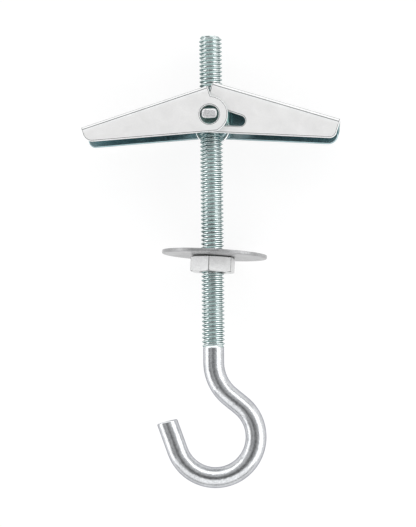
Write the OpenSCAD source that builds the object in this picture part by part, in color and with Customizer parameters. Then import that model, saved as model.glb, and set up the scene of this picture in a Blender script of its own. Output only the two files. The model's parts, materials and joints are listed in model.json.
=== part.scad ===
// Spring toggle bolt: a hook bent from the end of a threaded bolt, with a pair of sprung wings
// on a pivot nut, a broad washer and a hexagon nut.
//
// Every piece is worked out standing up: the bolt runs along Z, the wings' pivot axis is the Y axis
// through the origin, and the hook hangs below. lie_down() then lays the whole bolt on a flat surface,
// where it rests on the rim of the washer and on the back of the right wing.

/* [Bolt] */
// Diameter over the crests of the thread
thread_d = 3.9; // [3.7:0.05:4]
// Length of thread above the wings' pivot
thread_above = 14.2; // [9:0.1:30]
// Length of thread below the wings' pivot
thread_below = 39.45; // [32:0.05:70]
// Chamfer at the end of the thread
thread_chamfer = 0.4; // [0.1:0.05:0.8]
// Length over which the thread runs out into the plain wire
thread_runout = 0.5; // [0.2:0.1:1.5]
// Diameter of the plain wire
wire_d = 3.55; // [3:0.05:3.65]

/* [Hook] */
// Straight plain wire between the thread and the first bend
neck_len = 2.6; // [0.5:0.05:20]
// Centreline radius of the first bend
neck_r = 7.6; // [4:0.1:9]
// Angle through which the first bend turns the wire
neck_angle = 50.5; // [40:0.5:60]
// Centreline radius of the bowl
bowl_r = 6.9; // [5.5:0.05:12]
// Sideways distance from the bolt's axis to the centre of the bowl
bowl_offset = 0.2; // [0:0.1:1]
// Angle between the hook's tip and the bolt
tip_angle = 19.5; // [0:0.5:45]
// Straight length at the hook's tip
tip_len = 5.3; // [1:0.1:12]
// Chamfer round the end of the wire
tip_chamfer = 0.25; // [0.1:0.05:1]

/* [Wings] */
// Thickness of the sheet that the wings are folded from
sheet_t = 0.8; // [0.6:0.05:0.9]
// Outside radius of the fold between web and flange
fold_r = 0.95; // [0.92:0.01:1.4]
// Distance from the pivot to the tip, along the web
wing_len = 21.6; // [16:0.05:23]
// Distance from the pivot to the outside of the web, at the outer flange
web_h = 4.9; // [4.6:0.05:6]
// Extra height of the inner flange, which gives the web its slant
web_rise = 0.8; // [0:0.1:0.9]
// Distance from the pivot to the flanges' lower edge
lower_h = 2.97; // [2.6:0.01:3.2]
// Angle between the web and the flanges' lower edge
taper = 13.8; // [8:0.1:14.5]
// Slope of the web when the wing is open
open_slope = 17.5; // [12:0.5:22]
// Distance from the pivot to the end of the web beyond it
web_overrun = 1.2; // [1:0.05:1.35]
// Radius of the flanges' rounded end round the pivot
ear_r = 3.15; // [3.1:0.05:3.6]
// Diameter of the pivot hole
pivot_d = 3.25; // [3.2:0.01:3.4]
// Distance from the pivot hole to the centre of the slot's small end
slot_len = 5.25; // [4:0.05:8]
// Radius of the slot's small end
slot_end_r = 0.93; // [0.5:0.01:1.2]
// Angle between the web and the slot
slot_angle = 5.5; // [5:0.5:9]
// Radius of the tip's lower corner on the outer flange
outer_tip_r = 1.7; // [0.5:0.1:1.8]
// Radius of the tip's lower corner on the inner flange
inner_tip_r = 1.2; // [0.3:0.1:1.8]
// Room between the bolt and the rounded notch in the web
notch_gap = 0.25; // [0.15:0.05:0.35]

/* [Pivot nut] */
// Distance between the two inner flanges
nest_w = 7; // [6.9:0.05:7.6]
// Gap between an inner flange and the outer flange beside it
flange_gap = 0.05; // [0.02:0.01:0.1]
// Width of the nut across the bolt, along the wings
nut_body_w = 6.6; // [5.4:0.1:7]
// Height of the nut's body along the bolt
nut_body_h = 3; // [2:0.1:3.2]
// Radius of the corners of the nut's body
nut_corner_r = 0.6; // [0.2:0.1:1]
// Width of the lugs
lug_w = 2.6; // [2:0.05:2.6]
// Height of the lugs
lug_h = 1.65; // [1.2:0.05:1.65]
// Radius of the lugs' long edges
lug_edge_r = 0.25; // [0.2:0.01:0.4]
// Chamfer round the lugs' ends
lug_chamfer = 0.2; // [0.05:0.01:0.3]
// Distance that each lug stands proud of the outer flange
lug_proud = 0.1; // [0:0.05:0.6]
// Height of the lugs' centre above the wings' pivot axis, where the wings hang on the lugs
lug_rise = 0.18; // [0.1:0.01:0.25]

/* [Torsion spring] */
// Diameter of the spring's wire
spring_wire_d = 0.45; // [0.3:0.01:0.46]
// Inside radius of the coil
coil_inner_r = 2.6; // [2.5:0.05:2.7]
// Slope of the right leg above the level when the wings are open
right_leg_angle = 8; // [2:0.5:12]
// Slope of the left leg, which reaches the higher side of the slanted web
left_leg_angle = 13; // [2:0.5:16]
// Clearance between the spring and its neighbours
spring_gap = 0.05; // [0.03:0.01:0.06]

/* [Washer and hexagon nut] */
// Outside diameter of the washer
washer_d = 18; // [12:0.5:24]
// Thickness of the washer
washer_t = 0.62; // [0.5:0.02:1.5]
// Diameter of the hole in the washer
washer_hole_d = 5.0; // [4.9:0.05:5.3]
// Chamfer on the washer's edges
washer_chamfer = 0.12; // [0.05:0.01:0.2]
// Lean of the loose washer
washer_lean = 3.8; // [2.9:0.1:4.2]
// Distance that the loose washer sits off the bolt's axis
washer_offset = 0.33; // [0:0.01:0.35]
// Distance from the wings' pivot down to the top of the nut
nut_below = 23.97; // [23.9:0.01:28]
// Width of the nut across its flats
nut_flats = 7; // [6.5:0.1:8]
// Height of the nut
nut_h = 2.65; // [2:0.1:4]
// Turn of the nut about the bolt
nut_turn = 24; // [0:1:60]
// Lean of the nut, as far as a slack thread lets it
nut_lean = 2.6; // [0:0.1:2.8]
// Radial clearance between the thread's crests and a threaded hole
thread_gap = 0.05; // [0.02:0.01:0.09]
// Gap between the nut and the washer that rests on it
seat_gap = 0.02; // [0.01:0.01:0.1]

/* [Hidden] */
$fn = 96;
eps = 0.01;
over = 1;                  // overrun of a cutting tool past the face that it cuts

zinc = [0.80, 0.82, 0.83];
bright_zinc = [0.87, 0.88, 0.90];
pale_zinc = [0.90, 0.90, 0.91];
spring_steel = [0.62, 0.66, 0.67];

thread_r = thread_d / 2;
wire_r = wire_d / 2;
bend_thinning = 0.01;      // the wire is this much thinner in radius round its bends
lap = 0.05;                // length by which a straight laps over the end of a bend
bore_r = thread_r + thread_gap;

// the hook's centreline, in the X-Z plane: neck, first bend, slant, bowl, tip
bend_z = -thread_below - neck_len;
slant_start = [neck_r * (1 - cos(neck_angle)), bend_z - neck_r * sin(neck_angle)];
slant_len = (bowl_offset + bowl_r * cos(neck_angle) - slant_start.x) / sin(neck_angle);
slant_end = slant_start + slant_len * [sin(neck_angle), -cos(neck_angle)];
bowl_centre = slant_end - bowl_r * [cos(neck_angle), sin(neck_angle)];
bowl_sweep = 180 + neck_angle - tip_angle;
tip_start = bowl_centre - bowl_r * [cos(tip_angle), sin(tip_angle)];

// the faces of the wings' flanges, as distances from the bolt's axis along the pivot
inner_face = nest_w / 2;
inner_back = inner_face + sheet_t;
outer_face = inner_back + flange_gap;
outer_back = outer_face + sheet_t;
lower_at_pivot = -lower_h / cos(taper);

// the two folds' centres, as [across, up], and the web's slant between them
inner_fold = [-inner_back + fold_r, web_h - fold_r + web_rise];
outer_fold = [outer_back - fold_r, web_h - fold_r];
web_slant = atan2(inner_fold.y - outer_fold.y, outer_fold.x - inner_fold.x);
web_normal = [sin(web_slant), cos(web_slant)];
// the height of the web's underside at a distance across the wing
function under_v(y) = outer_fold.y + (fold_r - sheet_t) / cos(web_slant) + (outer_fold.x - y) * tan(web_slant);
notch_r = thread_r + notch_gap;
notch_u = -under_v(0) * tan(open_slope);

// the pivot nut and, behind it, the two turns of spring wire side by side
spring_wire_r = spring_wire_d / 2;
coil_r = coil_inner_r + spring_wire_r;
right_leg_y = inner_face - spring_gap - spring_wire_r;
left_leg_y = right_leg_y - spring_wire_d - spring_gap / 2;
nut_front = -(inner_face - spring_gap);
nut_back = left_leg_y - spring_wire_r - spring_gap;
lug_end = outer_back + lug_proud;
// the coil hangs on the lugs' two upper edges
edge_x = lug_w / 2 - lug_edge_r;
edge_z = lug_rise + lug_h / 2 - lug_edge_r;
coil_z = edge_z - sqrt(pow(coil_inner_r - lug_edge_r - spring_gap / 2, 2) - pow(edge_x, 2));
// where each leg leaves the coil, and how far on its upper side meets the underside of the open web
function leg_start(angle) = [-coil_r * sin(angle), coil_z + coil_r * cos(angle)];
function leg_room(angle, under) =
    (under - spring_gap - spring_wire_r - leg_start(angle).x * sin(open_slope)
     - leg_start(angle).y * cos(open_slope)) / sin(open_slope + angle);
right_leg_room = leg_room(right_leg_angle, under_v(right_leg_y + spring_wire_r));
left_leg_room = leg_room(left_leg_angle, under_v(-left_leg_y + spring_wire_r));

// the nut's flat end, bevelled at the corners only, and its bore, wide enough for the lean
nut_corner = nut_flats / 2 / cos(30);
nut_face_r = 0.93 * nut_corner;
nut_bevel = (nut_corner - nut_face_r) * tan(30);
nut_bore_r = bore_r / cos(nut_lean) + nut_h / 2 * tan(nut_lean);
nut_middle = -nut_below - nut_h / 2;

// the washer leans a little more than the nut, and rests on the edge of it
washer_r = washer_d / 2;
seat_x = nut_h / 2 * sin(nut_lean) + nut_face_r * cos(nut_lean);
seat_z = nut_middle + nut_h / 2 * cos(nut_lean) - nut_face_r * sin(nut_lean);
washer_x = washer_offset;
washer_z = seat_z + (seat_x - washer_x) * tan(washer_lean) + (washer_t / 2 + seat_gap) / cos(washer_lean);

// Lying down: the washer's rim and the two ends of the right wing's back flange touch the surface.
wing_top_v = web_h - fold_r;
function open_wing_point(u, v) =
    [u * cos(open_slope) + v * sin(open_slope), outer_back, v * cos(open_slope) - u * sin(open_slope)];
rim_touch = [washer_x, washer_r, washer_z + washer_t / 2 - washer_chamfer];
end_touch = open_wing_point(-web_overrun, wing_top_v);
tip_touch = open_wing_point(wing_len, wing_top_v);
down = cross(end_touch - rim_touch, tip_touch - rim_touch);
down_unit = down / norm(down);
rest_roll = atan2(down_unit.x, down_unit.y);
rest_tilt = asin(down_unit.z);
rest_depth = down_unit * rim_touch;
thread_end_y = thread_above * cos(rest_tilt) + (thread_r - thread_chamfer) * sin(rest_tilt);
bowl_end_y = (bowl_centre.y - bowl_r) * cos(rest_tilt) - wire_r;
middle_y = (thread_end_y + bowl_end_y) / 2;

// From standing at the pivot to lying, with the origin under the middle of the whole bolt.
module lie_down() {
    translate([0, -middle_y, rest_depth])
        rotate([-90 - rest_tilt, 0, 0])
            rotate([0, 0, rest_roll])
                children();
}

// ---- the hook bolt ----

// The straight lengths of wire lap a little over the ends of the bends, which are a hair thinner.
module threaded_rod() {
    root_z = -thread_below;
    rotate_extrude()
        polygon([
            [0, bend_z - lap],
            [wire_r, bend_z - lap],
            [wire_r, root_z],
            [thread_r, root_z + thread_runout],
            [thread_r, thread_above - thread_chamfer],
            [thread_r - thread_chamfer, thread_above],
            [0, thread_above],
        ]);
}

// A bend of round wire in the X-Z plane, from one angle round the centre through a sweep.
module wire_bend(centre, radius, from, sweep) {
    translate([centre.x, 0, centre.y])
        rotate([90, 0, 0])
            rotate([0, 0, from])
                rotate_extrude(angle = sweep)
                    translate([radius, 0])
                        circle(r = wire_r - bend_thinning);
}

// A straight run of wire in the X-Z plane. The angle is its lean from straight up, towards +X.
module wire_run(start, lean, length) {
    translate([start.x, 0, start.y])
        rotate([0, lean, 0])
            translate([0, 0, -lap])
                cylinder(r = wire_r, h = length + 2 * lap);
}

module hook_tip() {
    translate([tip_start.x, 0, tip_start.y])
        rotate([0, -tip_angle, 0])
            rotate_extrude()
                polygon([
                    [0, -lap],
                    [wire_r, -lap],
                    [wire_r, tip_len - tip_chamfer],
                    [wire_r - tip_chamfer, tip_len],
                    [0, tip_len],
                ]);
}

module hook_bolt() {
    $fn = 64;
    color(bright_zinc) {
        threaded_rod();
        wire_bend([neck_r, bend_z], neck_r, 180, neck_angle);
        wire_run(slant_start, 180 - neck_angle, slant_len);
        wire_bend(bowl_centre, bowl_r, tip_angle - 180, bowl_sweep);
        hook_tip();
    }
}

// ---- the wings: u runs along the web from the pivot, v is the height above the pivot ----

// The folded channel's outline across the wing: two upright sides and a slanted top, rounded at the folds.
module folded_outline(bottom, radius) {
    polygon([
        [inner_fold.x - radius, bottom],
        [outer_fold.x + radius, bottom],
        [outer_fold.x + radius, outer_fold.y],
        outer_fold,
        outer_fold + radius * web_normal,
        inner_fold + radius * web_normal,
        inner_fold,
        [inner_fold.x - radius, inner_fold.y],
    ]);
    for (fold = [inner_fold, outer_fold])
        translate(fold)
            circle(r = radius);
}

module channel() {
    bottom = -ear_r - over;
    rotate([90, 0, 90])
        translate([0, 0, -ear_r - over])
            linear_extrude(height = wing_len + ear_r + 2 * over)
                difference() {
                    folded_outline(bottom, fold_r);
                    folded_outline(bottom - over, fold_r - sheet_t);
                }
}

// The height of the flanges' lower edge.
function lower_v(u) = lower_at_pivot + u * tan(taper);

// A flange from the side: a round ear clipped by the tapering lower edge, and the tip's round corner.
module flange_outline(tip_r) {
    corner = [wing_len - tip_r, lower_v(wing_len - tip_r) + tip_r / cos(taper)];
    ear_start = -lower_h * sin(taper);
    difference() {
        circle(r = ear_r);
        rotate(taper)
            translate([-2 * ear_r, -lower_h - 2 * ear_r])
                square([4 * ear_r, 2 * ear_r]);
    }
    top = web_h + web_rise + over;
    polygon([
        [-web_overrun, top],
        [-web_overrun, 0],
        [-ear_start, lower_v(-ear_start)],
        corner + tip_r * [sin(taper), -cos(taper)],
        corner,
        [wing_len, corner.y],
        [wing_len, top],
    ]);
    translate(corner)
        circle(r = tip_r);
}

// Spreads an outline in u and v across the wing, from one place on the pivot axis to another.
module across(from, to) {
    translate([0, to, 0])
        rotate([90, 0, 0])
            linear_extrude(height = to - from)
                children();
}

// The pivot hole of the inner flange runs out into a narrowing slot.
module slot_outline() {
    pivot_r = pivot_d / 2;
    tangent = acos((pivot_r - slot_end_r) / slot_len);
    circle(r = pivot_r);
    rotate(slot_angle) {
        translate([slot_len, 0])
            circle(r = slot_end_r);
        polygon([
            pivot_r * [cos(tangent), sin(tangent)],
            pivot_r * [cos(tangent), -sin(tangent)],
            [slot_len, 0] + slot_end_r * [cos(tangent), -sin(tangent)],
            [slot_len, 0] + slot_end_r * [cos(tangent), sin(tangent)],
        ]);
    }
}

// One wing with its web level: the inner flange in front, the outer flange behind.
module wing() {
    difference() {
        intersection() {
            channel();
            union() {
                across(-outer_back - over, 0)
                    flange_outline(inner_tip_r);
                across(0, outer_back + over)
                    flange_outline(outer_tip_r);
            }
        }
        translate([notch_u, 0, under_v(outer_fold.x) - over])
            cylinder(r = notch_r, h = sheet_t + web_rise + 2 * over);
        across(-inner_back - over, 0)
            slot_outline();
        across(0, outer_back + over)
            circle(d = pivot_d);
    }
}

module right_wing() {
    color(pale_zinc)
        rotate([0, open_slope, 0])
            wing();
}

module left_wing() {
    rotate([0, 0, 180])
        right_wing();
}

// ---- the pivot nut ----

module nut_body() {
    depth = nut_back - nut_front;
    translate([0, (nut_back + nut_front) / 2, lug_rise - nut_body_h / 2])
        linear_extrude(height = nut_body_h) {
            square([nut_body_w - 2 * nut_corner_r, depth], center = true);
            square([nut_body_w, depth - 2 * nut_corner_r], center = true);
            for (x = [-1, 1], y = [-1, 1])
                translate([x * (nut_body_w / 2 - nut_corner_r), y * (depth / 2 - nut_corner_r)])
                    circle(r = nut_corner_r);
        }
}

// A lug's outline from above or from the side, chamfered at both ends.
module chamfered_bar(width) {
    half = width / 2;
    polygon([
        [half, lug_end - lug_chamfer],
        [half - lug_chamfer, lug_end],
        [-half + lug_chamfer, lug_end],
        [-half, lug_end - lug_chamfer],
        [-half, -lug_end + lug_chamfer],
        [-half + lug_chamfer, -lug_end],
        [half - lug_chamfer, -lug_end],
        [half, -lug_end + lug_chamfer],
    ]);
}

module lugs() {
    translate([0, 0, lug_rise])
        intersection() {
            rotate([90, 0, 0])
                linear_extrude(height = 2 * lug_end + over, center = true) {
                    square([lug_w - 2 * lug_edge_r, lug_h], center = true);
                    square([lug_w, lug_h - 2 * lug_edge_r], center = true);
                    for (x = [-1, 1], y = [-1, 1])
                        translate([x * (lug_w / 2 - lug_edge_r), y * (lug_h / 2 - lug_edge_r)])
                            circle(r = lug_edge_r);
                }
            linear_extrude(height = lug_h + over, center = true)
                chamfered_bar(lug_w);
            rotate([0, 90, 0])
                linear_extrude(height = lug_w + over, center = true)
                    chamfered_bar(lug_h);
        }
}

module pivot_nut() {
    color(zinc)
        difference() {
            union() {
                nut_body();
                lugs();
            }
            translate([0, 0, lug_rise - nut_body_h / 2 - over])
                cylinder(r = bore_r, h = nut_body_h + 2 * over);
        }
}

// ---- the torsion spring ----

coil_steps = 44;
wire_sides = 10;
coil_from = 90 - left_leg_angle;
coil_turn = 360 - left_leg_angle - right_leg_angle;

// Each station is [centre, angle of the wire's outward direction].
function coil_station(i) =
    let (angle = coil_from - coil_turn * i / coil_steps)
    [[coil_r * cos(angle), left_leg_y + (right_leg_y - left_leg_y) * i / coil_steps,
      coil_z + coil_r * sin(angle)], angle];
function leg_station(side, y, angle, room) =
    let (reach = leg_start(angle).x + room * cos(angle))
    [[side * reach, y, leg_start(angle).y + room * sin(angle)], 90 + side * angle];
stations = [
    leg_station(-1, left_leg_y, left_leg_angle, left_leg_room),
    for (i = [0 : coil_steps]) coil_station(i),
    leg_station(1, right_leg_y, right_leg_angle, right_leg_room),
];

function wire_ring(station) =
    let (out = [cos(station[1]), 0, sin(station[1])])
    [for (k = [0 : wire_sides - 1])
        let (a = 360 * k / wire_sides)
        station[0] + spring_wire_r * (cos(a) * out + sin(a) * [0, 1, 0])];

module torsion_spring() {
    points = [for (s = stations) each wire_ring(s)];
    last = len(stations) - 1;
    sides = [
        for (i = [0 : last - 1], k = [0 : wire_sides - 1])
            let (n = (k + 1) % wire_sides)
            [i * wire_sides + k, i * wire_sides + n,
             (i + 1) * wire_sides + n, (i + 1) * wire_sides + k]
    ];
    near_end = [[for (k = [wire_sides - 1 : -1 : 0]) k]];
    far_end = [[for (k = [0 : wire_sides - 1]) last * wire_sides + k]];
    color(spring_steel)
        polyhedron(points = points, faces = concat(sides, near_end, far_end), convexity = 6);
}

// ---- the washer and the hexagon nut ----

module washer() {
    half = washer_t / 2;
    hole_r = washer_hole_d / 2;
    color(zinc)
        translate([washer_x, 0, washer_z])
            rotate([0, washer_lean, 0])
                rotate_extrude()
                    polygon([
                        [hole_r, -half],
                        [washer_r - washer_chamfer, -half],
                        [washer_r, -half + washer_chamfer],
                        [washer_r, half - washer_chamfer],
                        [washer_r - washer_chamfer, half],
                        [hole_r, half],
                    ]);
}

module hex_nut() {
    countersink = thread_gap + 0.2;
    color(pale_zinc)
        translate([0, 0, nut_middle])
            rotate([0, nut_lean, 0])
                translate([0, 0, -nut_h / 2])
                    difference() {
                        intersection() {
                            rotate(nut_turn)
                                cylinder(r = nut_corner, h = nut_h, $fn = 6);
                            rotate_extrude()
                                polygon([
                                    [0, 0],
                                    [nut_face_r, 0],
                                    [nut_corner + eps, nut_bevel],
                                    [nut_corner + eps, nut_h - nut_bevel],
                                    [nut_face_r, nut_h],
                                    [0, nut_h],
                                ]);
                        }
                        translate([0, 0, -over])
                            cylinder(r = nut_bore_r, h = nut_h + 2 * over);
                        translate([0, 0, -eps])
                            cylinder(r1 = nut_bore_r + countersink, r2 = nut_bore_r, h = countersink);
                        translate([0, 0, nut_h - countersink + eps])
                            cylinder(r1 = nut_bore_r, r2 = nut_bore_r + countersink, h = countersink);
                    }
}

lie_down() hook_bolt();
lie_down() pivot_nut();
lie_down() left_wing();
lie_down() right_wing();
lie_down() torsion_spring();
lie_down() washer();
lie_down() hex_nut();
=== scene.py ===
import json
import math

import bmesh
import bpy
import numpy as np
from mathutils import Matrix, Vector
from mathutils.geometry import tessellate_polygon


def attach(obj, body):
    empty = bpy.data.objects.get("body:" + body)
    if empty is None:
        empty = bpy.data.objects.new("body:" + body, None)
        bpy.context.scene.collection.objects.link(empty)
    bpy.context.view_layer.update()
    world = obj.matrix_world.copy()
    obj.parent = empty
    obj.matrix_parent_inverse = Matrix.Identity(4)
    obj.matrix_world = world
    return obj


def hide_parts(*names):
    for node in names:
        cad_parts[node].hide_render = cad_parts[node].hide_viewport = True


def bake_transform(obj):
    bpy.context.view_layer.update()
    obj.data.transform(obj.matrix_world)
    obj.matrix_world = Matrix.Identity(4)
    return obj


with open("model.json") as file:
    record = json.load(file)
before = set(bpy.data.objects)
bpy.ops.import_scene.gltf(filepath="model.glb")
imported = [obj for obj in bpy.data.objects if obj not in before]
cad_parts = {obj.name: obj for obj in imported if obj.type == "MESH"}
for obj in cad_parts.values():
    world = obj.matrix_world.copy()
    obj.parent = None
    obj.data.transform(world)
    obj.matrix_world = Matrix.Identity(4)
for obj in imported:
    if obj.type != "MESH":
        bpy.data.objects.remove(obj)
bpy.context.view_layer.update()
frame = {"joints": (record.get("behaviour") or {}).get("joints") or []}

# ---- the bolt's own axes: x along the right wing, y away from the camera, z towards the thread's end ----

JOINTS = {joint["name"]: joint for joint in frame["joints"]}
AXIS_Z = Vector(JOINTS["toggle_travel"]["axis"]).normalized()
AXIS_Y = Vector(JOINTS["right_wing_hinge"]["axis"]).normalized()
AXIS_X = AXIS_Y.cross(AXIS_Z).normalized()
PIVOT = Vector(JOINTS["right_wing_hinge"]["pos_m"])
TURN = Matrix((AXIS_X, AXIS_Y, AXIS_Z)).transposed().to_4x4()
MM = 0.001
BOLT = Matrix.Translation(PIVOT) @ TURN @ Matrix.Scale(MM, 4)


# ---- angles in degrees, and points on circles ----

ARC_STEP = 6.0


def sin_deg(angle):
    return math.sin(math.radians(angle))


def cos_deg(angle):
    return math.cos(math.radians(angle))


def tan_deg(angle):
    return math.tan(math.radians(angle))


def polar(radius, angle, centre=(0.0, 0.0)):
    """The point at a radius and an angle from a centre."""
    return (centre[0] + radius * cos_deg(angle), centre[1] + radius * sin_deg(angle))


def arc(centre, radius, start, stop, step=ARC_STEP):
    """Points on a circle in a plane, from one angle to another, both ends included."""
    count = max(2, int(math.ceil(abs(stop - start) / step)) + 1)
    return [polar(radius, angle, centre) for angle in np.linspace(start, stop, count)]


def circle(radius):
    """Points all the way round a circle about the origin."""
    return arc((0, 0), radius, 0, 360 - ARC_STEP)


def rounding(radius, steps):
    """The steps of a rounded edge, as (how far in, how far up) pairs, from the side to the top."""
    angles = np.linspace(0, 90, steps + 1)
    return [(radius * (1 - cos_deg(angle)), radius * sin_deg(angle)) for angle in angles]


# ---- sizes, in millimetres and degrees: the solids' own, and the thread's root and pitch ----

# the bolt, the bends of its hook and the hook's tip
THREAD_R, ROOT_R, PITCH = 1.95, 1.53, 0.7
THREAD_TOP, THREAD_END = 14.2, -39.45
WIRE_R, BEND_Z = 1.775, -42.05
NECK_R, NECK_ANGLE = 7.6, 50.5
BOWL_R, BOWL_OFFSET = 6.9, 0.2
TIP_ANGLE, TIP_LEN = 19.5, 5.3

# a wing: sheet and folds, the flanges' inside faces, web, lower edge, pivot end, slot, corners and notch
SHEET, FOLD_R = 0.8, 0.95
INNER_FACE, OUTER_FACE = 3.5, 4.35
WEB_H, WEB_RISE, WING_LEN, OVERRUN = 4.9, 0.8, 21.6, 1.2
LOWER_H, TAPER, SLOPE = 2.97, 13.8, 17.5
EAR_R, PIVOT_R = 3.15, 1.625
SLOT_LEN, SLOT_END_R, SLOT_ANGLE = 5.25, 0.93, 5.5
OUTER_TIP_R, INNER_TIP_R = 1.7, 1.2
NOTCH_R = 2.2

# the pivot nut: its lugs and its block
LUG_W, LUG_H, LUG_END, LUG_EDGE, LUG_RISE = 2.6, 1.65, 5.25, 0.25, 0.18
BLOCK_W, BLOCK_H, BLOCK_FRONT, BLOCK_BACK = 6.6, 3.0, -3.45, 2.475
BLOCK_CORNER, BORE_R = 0.6, 2.0

# the torsion spring: its wire, its coil and its legs, of which 1 is the right one and -1 the left one
SPRING_R, SPRING_GAP, COIL_INNER_R = 0.225, 0.05, 2.6
LEG_ANGLE = {1: 8.0, -1: 13.0}
LEG_Y = {1: 3.225, -1: 2.75}

# the washer and the hexagon nut, both leaning down to the right
WASHER_R, WASHER_T, WASHER_HOLE_R, WASHER_LEAN, WASHER_X = 9.0, 0.62, 2.5, 3.8, 0.33
NUT_Z, NUT_H, NUT_FLATS, NUT_TURN, NUT_LEAN = -25.295, 2.65, 7.0, 24.0, 2.6
NUT_FACE_SHARE, SEAT_GAP = 0.93, 0.02

# ---- sizes worked out from these, as the solids' are ----

# the middle of the folded sheet, the centres of the two folds as (across, up), and the web between them
MID_R = FOLD_R - SHEET / 2
INNER_FOLD = (FOLD_R - INNER_FACE - SHEET, WEB_H - FOLD_R + WEB_RISE)
OUTER_FOLD = (OUTER_FACE + SHEET - FOLD_R, WEB_H - FOLD_R)
SLANT = math.atan2(WEB_RISE, OUTER_FOLD[0] - INNER_FOLD[0])
WEB_LEN = math.hypot(WEB_RISE, OUTER_FOLD[0] - INNER_FOLD[0])
OUTER_ARC, INNER_ARC = MID_R * (math.pi / 2 - SLANT), MID_R * (math.pi / 2 + SLANT)

# the coil hangs on the lugs' upper edges
COIL_R = COIL_INNER_R + SPRING_R
LUG_EDGE_X = LUG_W / 2 - LUG_EDGE
LUG_EDGE_Z = LUG_RISE + LUG_H / 2 - LUG_EDGE
COIL_Z = LUG_EDGE_Z - math.sqrt((COIL_INNER_R - LUG_EDGE - SPRING_GAP / 2) ** 2 - LUG_EDGE_X ** 2)

# the nut's flat face ends short of its corners, and its bore leaves room for its lean
NUT_FACE_R = NUT_FACE_SHARE * NUT_FLATS / 2 / cos_deg(30)
NUT_BORE_R = BORE_R / cos_deg(NUT_LEAN) + NUT_H / 2 * tan_deg(NUT_LEAN)

# the washer rests on the edge of that face
SEAT_X = NUT_H / 2 * sin_deg(NUT_LEAN) + NUT_FACE_R * cos_deg(NUT_LEAN)
SEAT_Z = NUT_Z + NUT_H / 2 * cos_deg(NUT_LEAN) - NUT_FACE_R * sin_deg(NUT_LEAN)
WASHER_RISE = (WASHER_T / 2 + SEAT_GAP) / cos_deg(WASHER_LEAN)
WASHER_Z = SEAT_Z + (SEAT_X - WASHER_X) * tan_deg(WASHER_LEAN) + WASHER_RISE


def under_web(y):
    """The height of the web's underside over the pivot, at a distance across the wing."""
    return OUTER_FOLD[1] + (FOLD_R - SHEET) / math.cos(SLANT) + (OUTER_FOLD[0] - y) * math.tan(SLANT)


def leg_length(side):
    """How far a leg of the spring runs from the coil before it is a gap away from the open web."""
    angle = LEG_ANGLE[side]
    # where the leg leaves the coil: x towards its own wing, and z
    start_x, start_z = -COIL_R * sin_deg(angle), COIL_Z + COIL_R * cos_deg(angle)
    under = under_web(side * LEG_Y[side] + SPRING_R) - SPRING_GAP - SPRING_R
    return (under - start_x * sin_deg(SLOPE) - start_z * cos_deg(SLOPE)) / sin_deg(SLOPE + angle)


# ---- building meshes ----

# points nearer than MERGE become one, and edges shorter than SLIVER are dropped
MERGE, SLIVER = 1e-5, 1e-6


def place(name, mesh, finishes, node, body, sharp):
    """Turns a bmesh in the bolt's axes, in mm, into a piece that stands for a CAD node.

    It rides on the body, if one is named. Edges that turn by more than sharp degrees stay sharp.
    """
    bmesh.ops.remove_doubles(mesh, verts=mesh.verts, dist=MERGE)
    bmesh.ops.dissolve_degenerate(mesh, edges=mesh.edges, dist=SLIVER)
    bmesh.ops.recalc_face_normals(mesh, faces=mesh.faces)
    data = bpy.data.meshes.new(name)
    mesh.to_mesh(data)
    mesh.free()
    data.transform(BOLT)
    data.polygons.foreach_set("use_smooth", [True] * len(data.polygons))
    data.set_sharp_from_angle(angle=math.radians(sharp))
    for finish in finishes:
        data.materials.append(finish)
    piece = bpy.data.objects.new(name, data)
    bpy.context.collection.objects.link(piece)
    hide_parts(node)
    if body:
        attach(piece, body)
    return piece


def skin(mesh, rings):
    """Joins closed rings of points, each as long as the last, with quads. Returns the rings' vertices."""
    rows = [[mesh.verts.new(point) for point in ring] for ring in rings]
    count = len(rings[0])
    for here, there in zip(rows, rows[1:]):
        for k in range(count):
            n = (k + 1) % count
            mesh.faces.new((here[k], here[n], there[n], there[k]))
    return rows


def cap(mesh, ring, centre=None):
    """Closes a ring of vertices with a fan of triangles round a centre, or round its own middle."""
    if centre is None:
        centre = sum((vert.co for vert in ring), Vector()) / len(ring)
    middle = mesh.verts.new(centre)
    for k, vert in enumerate(ring):
        mesh.faces.new((vert, ring[(k + 1) % len(ring)], middle))


# ---- the hook bolt: a rolled right-hand thread running out into the bent wire ----

SIDES = 48
# one pitch of the thread's section from root to root, as (share of the pitch, share of the height) pairs
THREAD_FORM = ((0.0, 0.0), (0.09, 0.02), (0.135, 0.12), (0.41, 0.93), (0.445, 1.0),
               (0.555, 1.0), (0.59, 0.93), (0.865, 0.12), (0.91, 0.02))
# the strips of that section on the crest and in the root, which lie level or nearly so
LEVEL_STRIPS = (0, 3, 4, 5, 8)
# the finishes of the bolt's faces, as places in BOLT_FINISHES; the flanks' darker colour is painted shade
# in the thread's grooves
LEVEL, FLANK_SHADE, PLAIN = range(3)
# the thread grows out of the wire from RUNOUT_Z over RUNOUT_LEN, and looks like plain wire up to PLAIN_Z
RUNOUT_Z, RUNOUT_LEN = THREAD_END - 0.35, 1.1
PLAIN_Z = RUNOUT_Z + 0.3
# the thread's end is chamfered, and cropped so that it falls by END_SLOPE for each mm across it
END_SLOPE, END_CHAMFER = 0.045, 0.42
# how finely the wire is divided: by counts of stations, and by shares of the length
STRAIGHT_COUNT, NECK_COUNT, BOWL_COUNT = 5, 13, 60
SLANT_SHARES, TIP_SHARES = (0.33, 0.67), (0.35, 0.7, 0.93)
# the cropped tip: its rounded edge, its slant, and its dished end, whose rim lies at a share of the radius
TIP_EDGE, TIP_SKEW = 0.22, -0.08
DISH_SHARE, DISH_RIM, DISH_MIDDLE = 0.6, 0.05, 0.07


def end_z(x):
    """The height of the thread's end at a distance to the right of the bolt's axis."""
    return THREAD_TOP - END_SLOPE * (ROOT_R + x)


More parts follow.
